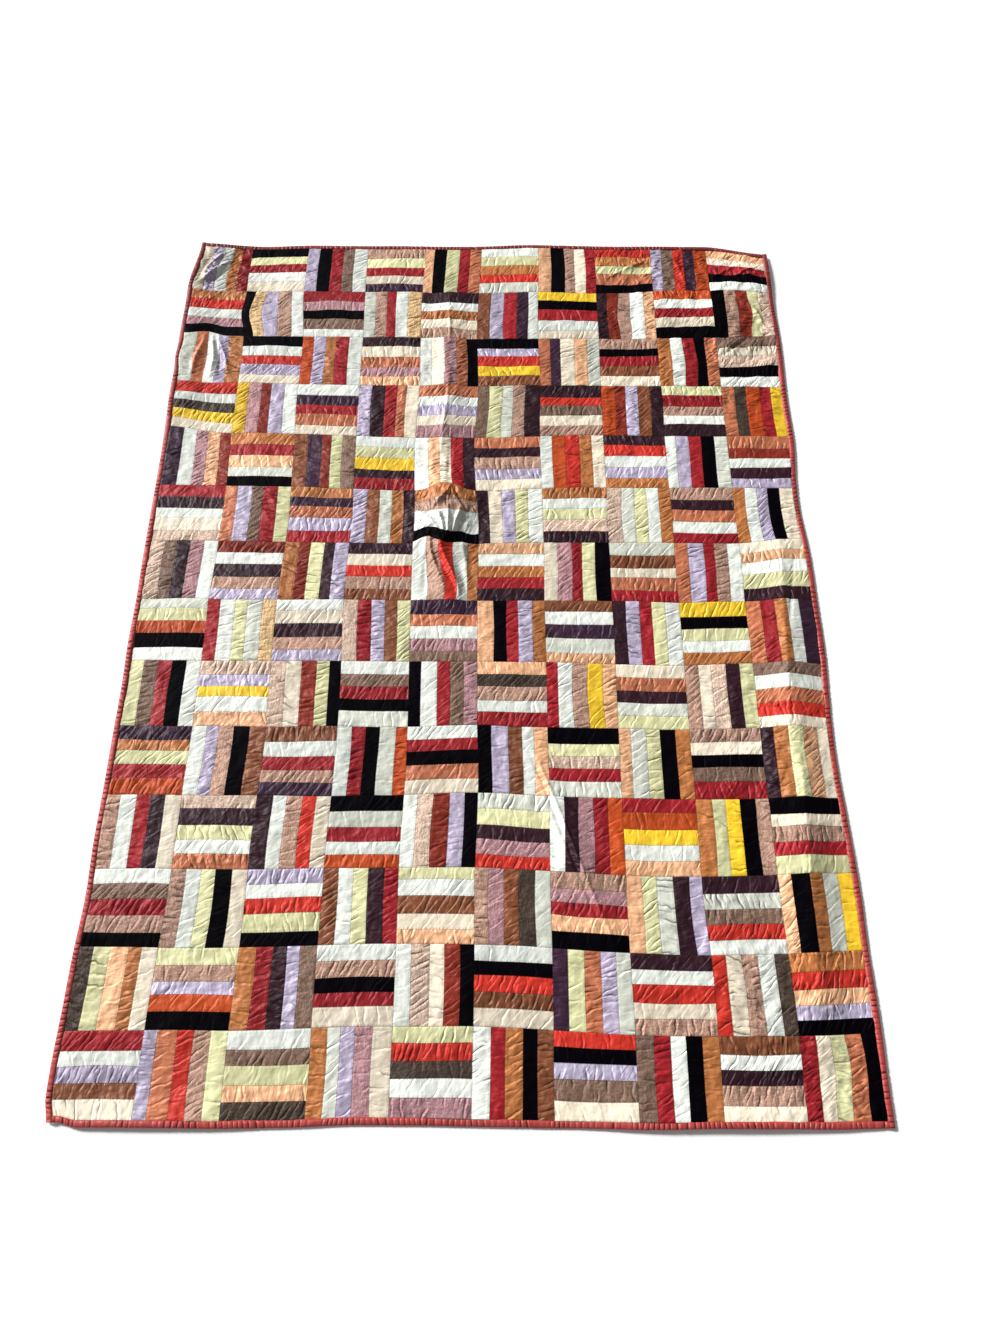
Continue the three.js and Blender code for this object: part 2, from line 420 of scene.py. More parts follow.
def angle(label, description, degrees):
    return FloatProperty(
        name=label,
        description=description,
        default=math.radians(degrees),
        subtype="ANGLE",
        unit="ROTATION",
    )


class QuiltStage(bpy.types.PropertyGroup):
    """Floor, lights and camera."""
    floor: cloth_colour("Floor", 248, 248, 248)
    floor_size: length("Floor size", "Side of the square floor", 14000)
    floor_glow: amount("Floor glow", "Light that the floor gives off", 0.04)
    key_strength: amount("Key strength", "Strength of the main light", 4.7)
    key_height: angle("Key height", "Angle of the main light above the floor", 34)
    key_bearing: angle("Key bearing", "Angle of the lights round from the left side to the head", 33)
    key_spread: angle("Key spread", "Angle that a light fills, which softens its shadows", 12)
    low_strength: amount("Low strength", "Strength of the low light", 3.2)
    low_height: angle("Low height", "Angle of the low light above the floor", 9)
    fill: amount("Fill", "Strength of the even light from all round", 0.2)


# ---------------------------------------------------------------- shape of the cloth

def bell(distance):
    """1 at the middle of a fold or pull, falling smoothly to 0 at its reach and beyond."""
    return (1 + np.cos(np.pi * np.minimum(np.abs(distance), 1))) / 2


def smooth(share):
    return share * share * (3 - 2 * share)


def soft_noise(x, y, cell, seed):
    """Smooth random heights from -1 to 1, in bumps about one cell apart."""
    lattice_side = 256
    lattice = np.random.default_rng(seed).uniform(-1, 1, (lattice_side, lattice_side))
    column, row = np.floor(x / cell).astype(int), np.floor(y / cell).astype(int)
    across, along = smooth(x / cell - column), smooth(y / cell - row)
    near = lattice[column % lattice_side, row % lattice_side]
    right = lattice[(column + 1) % lattice_side, row % lattice_side]
    far = lattice[column % lattice_side, (row + 1) % lattice_side]
    corner = lattice[(column + 1) % lattice_side, (row + 1) % lattice_side]
    near_side = near * (1 - across) + right * across
    far_side = far * (1 - across) + corner * across
    return near_side * (1 - along) + far_side * along


def steps_from(place, x, y, block):
    """How far points of the square cloth lie to the right of a table's place, and to its head."""
    return x - (place.column - COLUMNS / 2) * block, y - (ROWS / 2 - place.row) * block


def nearness(place, x, y, block):
    """1 at a table's place, falling smoothly to 0 at its reach."""
    return bell(np.hypot(*steps_from(place, x, y, block)) / (place.reach * block))


def fold_heights(x, y, folds, block, profile=bell):
    """Summed heights, in metres, of a table of folds at places on the square cloth."""
    height = np.zeros_like(x)
    for fold in folds:
        turn = math.radians(fold.heading)
        dx, dy = steps_from(fold, x, y, block)
        along = dx * math.cos(turn) + dy * math.sin(turn)
        aside = dy * math.cos(turn) - dx * math.sin(turn)
        crest = np.sqrt(bell(along / (fold.length * MM / 2)))
        height += fold.height * MM * crest * profile(aside / (fold.width * MM / 2))
    return height


def gathering(x, y, block):
    """How tightly the strips are gathered, 1 in the plainer parts."""
    strength = np.ones_like(x)
    for gather in GATHERS:
        strength += gather.strength * nearness(gather, x, y, block)
    return strength


def lay(x, y, height, block):
    """Moves points of the square cloth to where they lie on the floor."""
    laid_x, laid_y = x.copy(), y.copy()
    for pull in PULLS + SEAM_DRAGS:
        share = nearness(pull, x, y, block)
        laid_x += pull.across * MM * share
        laid_y += pull.along * MM * share
    stray, stray_cell = 1.6 * MM, 0.11
    laid_x += stray * soft_noise(x, y, stray_cell, STRAY_SEED)
    laid_y += stray * soft_noise(x, y, stray_cell, STRAY_SEED + 1)
    return np.stack([laid_x, laid_y, height + fold_heights(x, y, FOLDS, block)], axis=-1)


def valley(distance):
    """A narrow crease: 1 in its bottom, 0 past its reach."""
    return np.maximum(0, 1 - np.abs(distance)) ** 2


# ---------------------------------------------------------------- piecing

def draw_cloth(draw, family, used):
    """A cloth of a family, not used in its block yet if it can be."""
    kin = [cloth for cloth in CLOTHS if cloth.family == family and cloth.share]
    free = [cloth for cloth in kin if cloth.key not in used] or kin
    return draw.choices(free, [cloth.share for cloth in free])[0].key


def draw_block(draw, placed):
    """Five cloths for a block around its placed ones, with few neighbours of one family."""
    chosen = dict(placed)
    kin_beside = 0.12
    for strip in range(STRIPS):
        if strip in chosen:
            continue
        taken = [FAMILY_OF[key] for key in chosen.values()]
        beside = {FAMILY_OF[chosen[other]] for other in (strip - 1, strip + 1) if other in chosen}
        odds = []
        for family in FAMILIES:
            room = taken.count(family.name) < family.most
            odds.append(room * family[1 + strip] * (kin_beside if family.name in beside else 1))
        family = draw.choices(FAMILIES, odds)[0]
        chosen[strip] = draw_cloth(draw, family.name, set(chosen.values()))
    return [CLOTH_NUMBERS[chosen[strip]] for strip in range(STRIPS)]


def piece_blocks(seed):
    """The cloth number of every strip, as rows, columns and strips."""
    draw = random.Random(seed)
    placed = {}
    for key, places in PLACED.items():
        for row, column, strip in places:
            placed.setdefault((row, column), {})[strip] = key
    blocks = [
        draw_block(draw, placed.get((row, column), {}))
        for row in range(ROWS)
        for column in range(COLUMNS)
    ]
    return np.array(blocks).reshape(ROWS, COLUMNS, STRIPS)


def cut_strips(seed):
    """Where each block's strips begin and end, in mesh cells from its first side."""
    draw = random.Random(seed)
    cuts = np.zeros((ROWS, COLUMNS, STRIPS + 1), int)
    usual, most_off, swaps = CELLS // STRIPS, 2, 3
    for row in range(ROWS):
        for column in range(COLUMNS):
            widths = [usual] * STRIPS
            for _ in range(swaps):
                wider, narrower = draw.sample(range(STRIPS), 2)
                if widths[narrower] > usual - most_off and widths[wider] < usual + most_off:
                    widths[wider] += 1
                    widths[narrower] -= 1
            cuts[row, column, 1:] = np.cumsum(widths)
    return cuts


def strip_places(row, across, down, cuts):
    """For points of a row given in cells, the block's column, the strip, the place across it from 0
    to 1, and the cells along and across from the block's first corner."""
    column = np.minimum(across // CELLS, COLUMNS - 1).astype(int)
    inside = across - column * CELLS
    upright = (row + column) % 2 == 0
    side = np.where(upright, inside, down)
    run = np.where(upright, down, inside)
    edges = cuts[row][column]
    strip = np.clip((side[..., None] >= edges[..., 1:STRIPS]).sum(-1), 0, STRIPS - 1)
    start = np.take_along_axis(edges, strip[..., None], -1)[..., 0]
    end = np.take_along_axis(edges, strip[..., None] + 1, -1)[..., 0]
    return column, strip, (side - start) / (end - start), side, run, upright


def crease_strip(run, side, width, draw, count, depth):
    """A strip's own creases, on points given in metres along it and across it.

    Returns the soft heights beside them, the places for the crease map, and their depths there."""
    starts = (np.arange(count) + draw.uniform(0.1, 0.9, count)) / count * run.max()
    slopes = draw.uniform(-0.9, 0.3) + draw.uniform(-0.3, 0.3, count)
    bends = draw.uniform(-0.3, 0.3, count) / width
    depths = depth * draw.uniform(0.25, 1, count) ** 1.5
    reaches = draw.uniform(0.4, 1.6, count) * width
    from_first = draw.uniform(0, 1, count) < 0.5

    middle = side[..., None] - width / 2
    wander_cell = 0.009
    wander = 2.2 * MM * soft_noise(run, side, wander_cell, draw.integers(1000))
    off = (run + wander)[..., None] - starts - slopes * middle - bends * middle ** 2
    order = np.abs(off).argsort(-1)
    nearest, second = order[..., :1], order[..., 1:2]
    signed = np.take_along_axis(off, nearest, -1)[..., 0]
    apart = np.abs(np.take_along_axis(off, second, -1)[..., 0]) - np.abs(signed)
    from_seam = np.where(from_first, side[..., None], width - side[..., None])
    fades = smooth(np.clip(1.2 - from_seam / reaches, 0, 1)) * depths
    limit = 0.45 * CREASE_STEP
    places = nearest[..., 0] * CREASE_STEP + np.clip(signed, -limit, limit)

    reach, share = 6 * MM, 0.6
    ridges = share * bell((off - 0.9 * reach) / (1.3 * reach))
    troughs = share * bell(off / reach)
    heights = (fades * (ridges - troughs)).sum(-1)
    clear_reach = 7 * MM
    clearance = smooth(np.clip(apart / clear_reach, 0, 1))
    shown = np.take_along_axis(fades, nearest, -1)[..., 0] * clearance
    return heights, places, shown / MM


def crease_row(row, tight, cuts, plan, sizes):
    """Heights of all the creases that stay within one strip of a row, on the row's grid of points,
    and the row's crease map."""
    height = np.zeros((CELLS + 1, COLUMNS * CELLS + 1))
    crease_map = np.zeros((CELLS, COLUMNS * CELLS, 4, 2))
    cell = sizes.block / CELLS
    run, side = np.meshgrid(np.arange(CELLS + 1) * cell, np.arange(CELLS + 1) * cell, indexing="ij")
    for column in range(COLUMNS):
        upright = (row + column) % 2 == 0
        left = column * CELLS
        tightness = tight[CELLS // 2, left + CELLS // 2]
        for strip in range(STRIPS):
            draw = np.random.default_rng(CREASE_SEED + (row * COLUMNS + column) * STRIPS + strip)
            first, last = cuts[row, column, strip:strip + 2]
            vigour = 0.42 + draw.uniform(0, 1) ** 2 * 1.5
            creasing = CLOTHS[plan[row, column, strip]].creasing
            strength = min(creasing * vigour * (0.45 + 0.55 * tightness), MOST_CREASED)
            count = round(3.5 + 6 * strength + draw.uniform(-1.5, 1.5))
            depth = sizes.gather * (0.3 + 0.8 * strength)
            run_here = run[:, first:last + 1]
            side_here = side[:, first:last + 1] - first * cell
            width = (last - first) * cell
            made = np.stack(crease_strip(run_here, side_here, width, draw, count, depth), -1)
            down, across = slice(0, CELLS + 1), slice(left + first, left + last + 1)
            if not upright:
                made = made.swapaxes(0, 1)
                down, across = slice(first, last + 1), slice(left, left + CELLS + 1)
            height[down, across] += made[..., 0]
            maps = made[..., 1:]
            corners = np.stack([maps[1:, :-1], maps[1:, 1:], maps[:-1, 1:], maps[:-1, :-1]], axis=2)
            crease_map[down.start:down.stop - 1, across.start:across.stop - 1] = corners
    return height, crease_map


def strip_heights(row, x, y, across, down, cuts, plan, sizes):
    """Heights of a row's strips above the sheet's underside, in metres, and the row's crease map."""
    column, strip, place, side, run, upright = strip_places(row, across, down, cuts)
    cell = sizes.block / CELLS
    crown = (4 * place * (1 - place)).clip(0, 1)
    end_reach = 9 * MM
    ends = np.clip(np.minimum(run, CELLS - run) * cell / end_reach, 0, 1)
    side_fullness, end_fullness = 0.25, 0.4
    puff = crown ** side_fullness * (1 - (1 - ends) ** 2) ** end_fullness
    within = np.minimum(down, CELLS - down).clip(0, 1)
    height = sizes.thickness - sizes.ditch * (1 - puff)

    tight = gathering(x, y, sizes.block)
    creases, crease_map = crease_row(row, tight, cuts, plan, sizes)
    in_ditch = 0.35
    height += creases * (in_ditch + (1 - in_ditch) * puff) * within
    for bumps, tightness in zip(BUMPS, (tight, tight, tight - 1, 1)):
        height += sizes.crumple * bumps.share * soft_noise(x, y, bumps.cell, bumps.seed) * tightness
    swell_cell = 0.17
    height += sizes.swell * soft_noise(x, y, swell_cell, SWELL_SEED)
    height += fold_heights(x, y, CREASES, sizes.block, valley)
    least, give = 2.4 * MM, 0.8 * MM
    return least + give * np.logaddexp(0, (height - least) / give), crease_map


def strip_draws(seed, low, high):
    """One random number for each strip of the quilt."""
    return np.random.default_rng(seed).uniform(low, high, ROWS * COLUMNS * STRIPS)


def seam_bow(row, across, down, cuts, sizes):
    """How far each point strays with its bowed seams, in metres to the right and towards the foot."""
    column, strip, place, side, run, upright = strip_places(row, across, down, cuts)
    stray = np.random.default_rng(BOW_SEED).uniform(-1, 1, (ROWS, COLUMNS, STRIPS + 1))
    stray[..., 0] = stray[..., STRIPS] = 0
    first = stray[row, column, strip]
    second = stray[row, column, strip + 1]
    bow = sizes.bow * (first * (1 - place) + second * place) * np.sin(np.pi * run / CELLS)
    return np.where(upright, bow, 0), np.where(upright, 0, bow)


# ---------------------------------------------------------------- mesh making

def add_mesh(name, points, faces, material_numbers=None):
    """An object from arrays of points and four-sided faces, smooth shaded."""
    mesh = bpy.data.meshes.new(name)
    mesh.vertices.add(len(points))
    mesh.vertices.foreach_set("co", points.astype(np.float32).ravel())
    mesh.loops.add(faces.size)
    mesh.loops.foreach_set("vertex_index", faces.astype(np.int32).ravel())
    mesh.polygons.add(len(faces))
    mesh.polygons.foreach_set("loop_start", np.arange(0, faces.size, 4, dtype=np.int32))
    if material_numbers is not None:
        mesh.polygons.foreach_set("material_index", material_numbers.astype(np.int32))
    mesh.update(calc_edges=True)
    mesh.validate()
    mesh.shade_smooth()
    piece = bpy.data.objects.new(name, mesh)
    bpy.context.scene.collection.objects.link(piece)
    return piece


def grid_faces(across_count, down_count):
    """Four-sided faces, facing up, of a grid of points laid out in lines from left to right."""
    down, across = np.mgrid[0:down_count - 1, 0:across_count - 1]
    first = down * across_count + across
    corners = [first + across_count, first + across_count + 1, first + 1, first]
    return np.stack(corners, -1).reshape(-1, 4)


def add_uv(piece, name, uv):
    layer = piece.data.uv_layers.new(name=name, do_init=False)
    layer.uv.foreach_set("vector", uv.astype(np.float32).ravel())


def add_face_colours(piece, colours):
    layer = piece.data.attributes.new(COLOUR_LAYER, "FLOAT_COLOR", "FACE")
    opaque = np.concatenate([colours, np.ones((len(colours), 1))], axis=1)
    layer.data.foreach_set("color", opaque.astype(np.float32).ravel())


def add_values(piece, name, domain, values):
    layer = piece.data.attributes.new(name, "FLOAT", domain)
    layer.data.foreach_set("value", values.astype(np.float32).ravel())


def dress(piece, replaced):
    """Fixes a piece to the quilt's body in place of its solids."""
    piece.cycles.shadow_terminator_geometry_offset = 0.3
    piece.cycles.shadow_terminator_offset = 0.1
    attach(piece, BODY)
    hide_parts(*replaced)


# ---------------------------------------------------------------- finishes

def node(tree, kind, **settings):
    made = tree.nodes.new(kind)
    for key, value in settings.items():
        setattr(made, key, value)
    return made


def feed(tree, target, source):
    """Links a source socket to a target socket, or sets a plain value there."""
    if isinstance(source, bpy.types.NodeSocket):
        tree.links.new(source, target)
    else:
        target.default_value = source


def calculate(tree, operation, *numbers):
    made = node(tree, "ShaderNodeMath", operation=operation)
    for place, number in enumerate(numbers):
        feed(tree, made.inputs[place], number)
    return made.outputs[0]


def times(tree, first, second):
    return calculate(tree, "MULTIPLY", first, second)


def plus(tree, first, second):
    return calculate(tree, "ADD", first, second)


def minus(tree, first, second):
    return calculate(tree, "SUBTRACT", first, second)


def painted(tree, layer, output="Fac"):
    """What a layer of the mesh holds."""
    return node(tree, "ShaderNodeAttribute", attribute_name=layer).outputs[output]


def mapped(tree, map_name):
    """Coordinates from a UV map."""
    return node(tree, "ShaderNodeUVMap", uv_map=map_name).outputs["UV"]


def split(tree, vector):
    """A vector's first two numbers."""
    made = node(tree, "ShaderNodeSeparateXYZ")
    tree.links.new(vector, made.inputs[0])
    return made.outputs["X"], made.outputs["Y"]


def noise(tree, vector, bumps, detail=2.0, roughness=0.5, distortion=0.0):
    """Soft noise with the given numbers of bumps in a unit along and across."""
    stretched = node(tree, "ShaderNodeVectorMath", operation="MULTIPLY")
    tree.links.new(vector, stretched.inputs[0])
    stretched.inputs[1].default_value = (*bumps, 1.0)
    made = node(tree, "ShaderNodeTexNoise", noise_dimensions="2D")
    tree.links.new(stretched.outputs[0], made.inputs["Vector"])
    made.inputs["Scale"].default_value = 1.0
    made.inputs["Detail"].default_value = detail
    made.inputs["Roughness"].default_value = roughness
    made.inputs["Distortion"].default_value = distortion
    return made.outputs["Fac"]


def spread(tree, value, low, high, to_low=0.0, to_high=1.0, shape="SMOOTHSTEP"):
    """A value spread from one range to another, and held at its ends."""
    made = node(tree, "ShaderNodeMapRange", interpolation_type=shape)
    feed(tree, made.inputs["Value"], value)
    for label, number in zip(("From Min", "From Max", "To Min", "To Max"), (low, high, to_low, to_high)):
        made.inputs[label].default_value = number
    return made.outputs["Result"]


def group_tree(name, inputs, outputs):
    """An empty shader node group with number sockets, and its input and output nodes."""
    tree = bpy.data.node_groups.new(name, "ShaderNodeTree")
    for label, default in inputs.items():
        socket = tree.interface.new_socket(name=label, in_out="INPUT", socket_type="NodeSocketFloat")
        socket.default_value = default
    for label in outputs:
        tree.interface.new_socket(name=label, in_out="OUTPUT", socket_type="NodeSocketFloat")
    given, result = node(tree, "NodeGroupInput"), node(tree, "NodeGroupOutput")
    return tree, given.outputs, result.inputs


def lining_group():
    """Ripples and weave of lining cloth, in metres along and across a strip.

    Height is the relief in millimetres, and Tone is a slow unevenness from 0 to 1."""
    inputs = {"Ripples": 1.0, "Crumple": 1.0, "Weave": 0.1}
    tree, given, result = group_tree("Lining cloth", inputs, ("Height", "Tone"))
    place = mapped(tree, STRIP_MAP)
    along, across = split(tree, place)
    upright_draw, slant_range = 0.3, 1.1
    slant = times(tree, minus(tree, painted(tree, DRAW_LAYER), upright_draw), slant_range)
    lean = node(tree, "ShaderNodeCombineXYZ")
    tree.links.new(plus(tree, along, times(tree, slant, across)), lean.inputs["X"])
    tree.links.new(across, lean.inputs["Y"])

    ripple = noise(tree, lean.outputs[0], RIPPLES, detail=1.0, roughness=0.4, distortion=0.3)
    patch_from, patch_to, weakest = 0.4, 0.66, 0.26
    patches = noise(tree, place, RIPPLED_PATCHES, detail=0.0)
    patches = spread(tree, patches, patch_from, patch_to, weakest, 1.0)
    plain_part, tight_part = 0.48, 1.3
    gathered = plus(tree, times(tree, painted(tree, TIGHT_LAYER), tight_part), plain_part)
    dents = noise(tree, place, DENTS, detail=1.0, roughness=0.4)
    threads = noise(tree, place, THREADS, detail=1.0)
    height = times(tree, times(tree, ripple, times(tree, patches, gathered)), given["Ripples"])
    height = plus(tree, times(tree, dents, given["Crumple"]), height)
    height = plus(tree, times(tree, threads, given["Weave"]), height)
    tree.links.new(height, result["Height"])
    tree.links.new(noise(tree, place, TONE_PATCHES), result["Tone"])
    return tree


def crease_group():
    """Creases at their mapped places: Height in millimetres, and a mask of painted shade, 1 along the
    bottoms of the deeper ones.
    """
    inputs = {"Width": 0.003, "Relief": 0.6}
    tree, given, result = group_tree("Creases", inputs, ("Height", "Bottom"))
    place, depth = split(tree, mapped(tree, CREASE_MAP))
    nearest = calculate(tree, "WRAP", place, CREASE_STEP / 2, -CREASE_STEP / 2)
    off = calculate(tree, "DIVIDE", nearest, given["Width"])
    centre = calculate(tree, "ABSOLUTE", off)
    ridge_place, ridge_reach, ridge_height = 1.3, 1.4, 0.6
    beside = calculate(tree, "ABSOLUTE", minus(tree, off, ridge_place))
    ridge = spread(tree, beside, 0.0, ridge_reach, ridge_height, 0.0)
    trough = spread(tree, centre, 0.0, 1.0, 1.0, 0.0)
    relief = times(tree, minus(tree, ridge, trough), depth)
    tree.links.new(times(tree, relief, given["Relief"]), result["Height"])
    # painted shade along the bottoms of the deeper creases, for darkening the colour there
    faintest, deepest, line_reach = 0.15, 2.2, 0.55
    crease_shade = spread(tree, centre, 0.0, line_reach, 1.0, 0.0)
    tree.links.new(times(tree, crease_shade, spread(tree, depth, faintest, deepest)), result["Bottom"])
    return tree


def seam_group():
    """Seams round a strip: a mask of painted shade in the seam's ditch, 1 on the seam, and Pucker,
    the height, in millimetres, of the small gathers beside it."""
    inputs = {"Width": 0.0304, "Length": 0.152}
    tree, given, result = group_tree("Seams", inputs, ("Line", "Pucker"))
    reaches = []
    for place, size in zip(split(tree, mapped(tree, EDGE_MAP)), ("Length", "Width")):
        nearer = calculate(tree, "MINIMUM", place, minus(tree, 1.0, place))
        reaches.append(times(tree, nearer, given[size]))
    distance = calculate(tree, "MINIMUM", *reaches)
    line_from, line_to, fringe_to = 0.0002, 0.0013, 0.007
    # painted shade in the seam's ditch, 1 on the seam and fading off beside it
    tree.links.new(spread(tree, distance, line_from, line_to, 1.0, 0.0), result["Line"])
    gathers = noise(tree, mapped(tree, STRIP_MAP), SEAM_GATHERS, detail=1.0)
    fringe = spread(tree, distance, 0.0, fringe_to, 1.0, 0.0)
    tree.links.new(times(tree, gathers, fringe), result["Pucker"])
    return tree


def brocade_group():
    """Crinkled, figured weave: Height in millimetres, and Figure from 0 on the ground to 1."""
    tree, given, result = group_tree("Crinkled figure", {"Relief": 0.9}, ("Height", "Figure"))
    place = mapped(tree, STRIP_MAP)
    figure = noise(tree, place, FIGURES, detail=3.0, roughness=0.6)
    crinkle = noise(tree, place, CRINKLES, roughness=0.6)
    figure_relief, ground_to, figure_from = 0.6, 0.42, 0.62
    both = plus(tree, crinkle, times(tree, figure, figure_relief))
    tree.links.new(times(tree, both, given["Relief"]), result["Height"])
    tree.links.new(spread(tree, figure, ground_to, figure_from), result["Figure"])
    return tree


def place_group(tree, maker, name, **values):
    """Places a shared shader group, made at its first use, with its own values."""
    made = node(tree, "ShaderNodeGroup")
    made.node_tree = bpy.data.node_groups.get(name) or maker()
    for label, value in values.items():
        made.inputs[label].default_value = value
    return made.outputs


def darkened(tree, colour, share):
    """A colour multiplied by a grey share."""
    mix = node(tree, "ShaderNodeMix", data_type="RGBA", blend_type="MULTIPLY")
    mix.inputs["Factor"].default_value = 1.0
    feed(tree, mix.inputs["A"], colour)
    grey = node(tree, "ShaderNodeCombineColor")
    for label in ("Red", "Green", "Blue"):
        tree.links.new(share, grey.inputs[label])
    tree.links.new(grey.outputs["Color"], mix.inputs["B"])
    return mix.outputs["Result"]


def marked(tree, colour, mask, at_mask, elsewhere=1.0):
    """A colour darkened or brightened where a mask is 1."""
    return darkened(tree, colour, spread(tree, mask, 0.0, 1.0, elsewhere, at_mask))


def toned(tree, tone, low, high):
    """A slow tone, whose noise lies mostly in its middle half, as a value between two."""
    return spread(tree, tone, 0.25, 0.75, low, high, shape="LINEAR")


def new_material(name):
    material = bpy.data.materials.new(name)
    material.use_nodes = True
    return material, material.node_tree, material.node_tree.nodes["Principled BSDF"]


def finish_off(tree, shader, colour, roughness, height):
    """Feeds the shader its colour and roughness, and a relief given in millimetres."""
    tree.links.new(colour, shader.inputs["Base Color"])
    feed(tree, shader.inputs["Roughness"], roughness)
    bump = node(tree, "ShaderNodeBump")
    bump.inputs["Strength"].default_value = 1.0
    bump.inputs["Distance"].default_value = MM
    tree.links.new(height, bump.inputs["Height"])
    tree.links.new(bump.outputs["Normal"], shader.inputs["Normal"])


def strip_material(finish):
    """Lining cloth for the strips."""
    material, tree, shader = new_material(f"lining_{finish.kind}")
    lining = place_group(
        tree, lining_group, "Lining cloth", Ripples=finish.ripples, Crumple=finish.crumple
    )
    seam = place_group(tree, seam_group, "Seams")
    crease = place_group(tree, crease_group, "Creases")
    height = plus(tree, plus(tree, lining["Height"], seam["Pucker"]), crease["Height"])
    colour = darkened(tree, painted(tree, COLOUR_LAYER, "Color"), toned(tree, lining["Tone"], 0.92, 1.0))
    # painted shade along the seams' ditches
    colour = marked(tree, colour, seam["Line"], 0.6)
    # painted shade darkens the colour in the crease bottoms
    colour = marked(tree, colour, crease["Bottom"], 0.3)
    if finish.kind == "brocade":
        woven = place_group(tree, brocade_group, "Crinkled figure")
        height = plus(tree, height, woven["Height"])
        colour = marked(tree, colour, woven["Figure"], 1.1, elsewhere=0.84)
    roughness = toned(tree, lining["Tone"], finish.rough_from, finish.rough_to)
    finish_off(tree, shader, colour, roughness, height)
    shader.inputs["Metallic"].default_value = finish.metallic
    shader.inputs["Specular IOR Level"].default_value = finish.specular
    return material


def binding_material(colour):
    """Satin for the folded edge, with painted shade in the bottoms of its tucks and towards the head."""
    material, tree, shader = new_material("binding_satin")
    lining = place_group(tree, lining_group, "Lining cloth", Ripples=0.9, Crumple=0.9)
    crease = place_group(tree, crease_group, "Creases", Width=0.0026, Relief=0.5)
    shown = darkened(tree, (*colour, 1.0), toned(tree, lining["Tone"], 0.86, 1.0))
    # painted shade in the bottoms of the tucks
    shown = marked(tree, shown, crease["Bottom"], 0.12)
    # painted shade darkening the binding towards the head
    shown = darkened(tree, shown, painted(tree, PAINTED_SHADE_LAYER))
    roughness = toned(tree, lining["Tone"], 0.46, 0.56)
    finish_off(tree, shader, shown, roughness, plus(tree, lining["Height"], crease["Height"]))
    shader.inputs["Metallic"].default_value = 0.14
    shader.inputs["Specular IOR Level"].default_value = 0.5
    return material


def backing_material(colour):
    """Plain matt cotton for the underside."""
    material, tree, shader = new_material("backing_cotton")
    lining = place_group(
        tree, lining_group, "Lining cloth", Ripples=0.4, Crumple=0.8, Weave=0.3
    )
    shown = darkened(tree, (*colour, 1.0), toned(tree, lining["Tone"], 0.92, 1.0))
    finish_off(tree, shader, shown, 0.85, lining["Height"])
    return material


# ---------------------------------------------------------------- operators

class QUILT_OT_patchwork(bpy.types.Operator):
    """Pieces the patchwork, one joined strip of ten blocks for each row"""
    bl_idname = "quilt.patchwork"
    bl_label = "Piece the patchwork"

    def execute(self, context):
        sizes = context.scene.quilt_sizes
        plan = piece_blocks(sizes.draw_seed)
        cuts = cut_strips(CUT_SEED)
        materials = [strip_material(finish) for finish in FINISHES]
        colours = context.scene.quilt_colours
        palette = np.array([getattr(colours, cloth.key)[:] for cloth in CLOTHS])
        for row in range(ROWS):
            self.piece_row(row, sizes, plan, cuts, palette, materials)
        return {"FINISHED"}

    def piece_row(self, row, sizes, plan, cuts, palette, materials):
        across_count, down_count = COLUMNS * CELLS + 1, CELLS + 1
        down, across = np.mgrid[0:down_count, 0:across_count]
        cell = sizes.block / CELLS
        x = across * cell - COLUMNS * sizes.block / 2
        y = (ROWS / 2 - row) * sizes.block - down * cell
        height, crease_map = strip_heights(row, x, y, across, down, cuts, plan, sizes)
        bow_right, bow_down = seam_bow(row, across, down, cuts, sizes)
        points = lay(x + bow_right, y - bow_down, height, sizes.block)

        faces = grid_faces(across_count, down_count)
        face_down, face_across = np.mgrid[0:CELLS, 0:COLUMNS * CELLS].reshape(2, -1)
        middle = strip_places(row, face_across + 0.5, face_down + 0.5, cuts)
        column, strip, upright = middle[0], middle[1], middle[5]
        cloth = plan[row][column, strip]
        kinds = np.array([CLOTH_KINDS.index(c.kind) for c in CLOTHS])[cloth]
        piece = add_mesh(f"patchwork_row_{row + 1:02d}", points.reshape(-1, 3), faces, kinds)
        for material in materials:
            piece.data.materials.append(material)

        number = (row * COLUMNS + column) * STRIPS + strip
        deepest, palest = 0.78, 1.05
        tint = strip_draws(TINT_SEED, deepest, palest)[number][:, None]
        add_face_colours(piece, np.clip(palette[cloth] * tint, 0, 1))
        add_values(piece, DRAW_LAYER, "FACE", strip_draws(DRAW_SEED, 0, 1)[number])
        add_values(piece, TIGHT_LAYER, "POINT", gathering(x, y, sizes.block) - 1)
        add_uv(piece, CREASE_MAP, crease_map.reshape(-1, 2))
        strips = [part[:, None] for part in (column, strip, upright, number)]
        self.add_maps(piece, face_across[:, None], face_down[:, None], strips, cuts[row][column], cell)
        dress(piece, [SHEET_NODE])

    def add_maps(self, piece, face_across, face_down, strips, edges, cell):
        """Adds a row's maps: for baking, along its strips, and across each strip's width."""
        column, strip, upright, number = strips
        corner_across = face_across + np.array([0, 1, 1, 0])
        corner_down = face_down + np.array([1, 1, 0, 0])
        inside = corner_across - column * CELLS
        tiles_across, tiles_up, margin = 4, 3, 0.012
        tile = np.stack([inside, CELLS - corner_down], -1) / CELLS
        tile = margin + tile * (1 - 2 * margin)
        place = np.stack([column % tiles_across, column // tiles_across], -1)
        add_uv(piece, BAKE_MAP, (place + tile) / np.array([tiles_across, tiles_up]))

        run = np.where(upright, corner_down, inside)
        side = np.where(upright, inside, corner_down)
        shift_along, shift_across = number * 0.61, number * 0.23
        shifted = np.stack([run * cell + shift_along, side * cell + shift_across], -1)
        add_uv(piece, STRIP_MAP, shifted)
        first = np.take_along_axis(edges, strip, 1)
        last = np.take_along_axis(edges, strip + 1, 1)
        add_uv(piece, EDGE_MAP, np.stack([run / CELLS, (side - first) / (last - first)], -1))


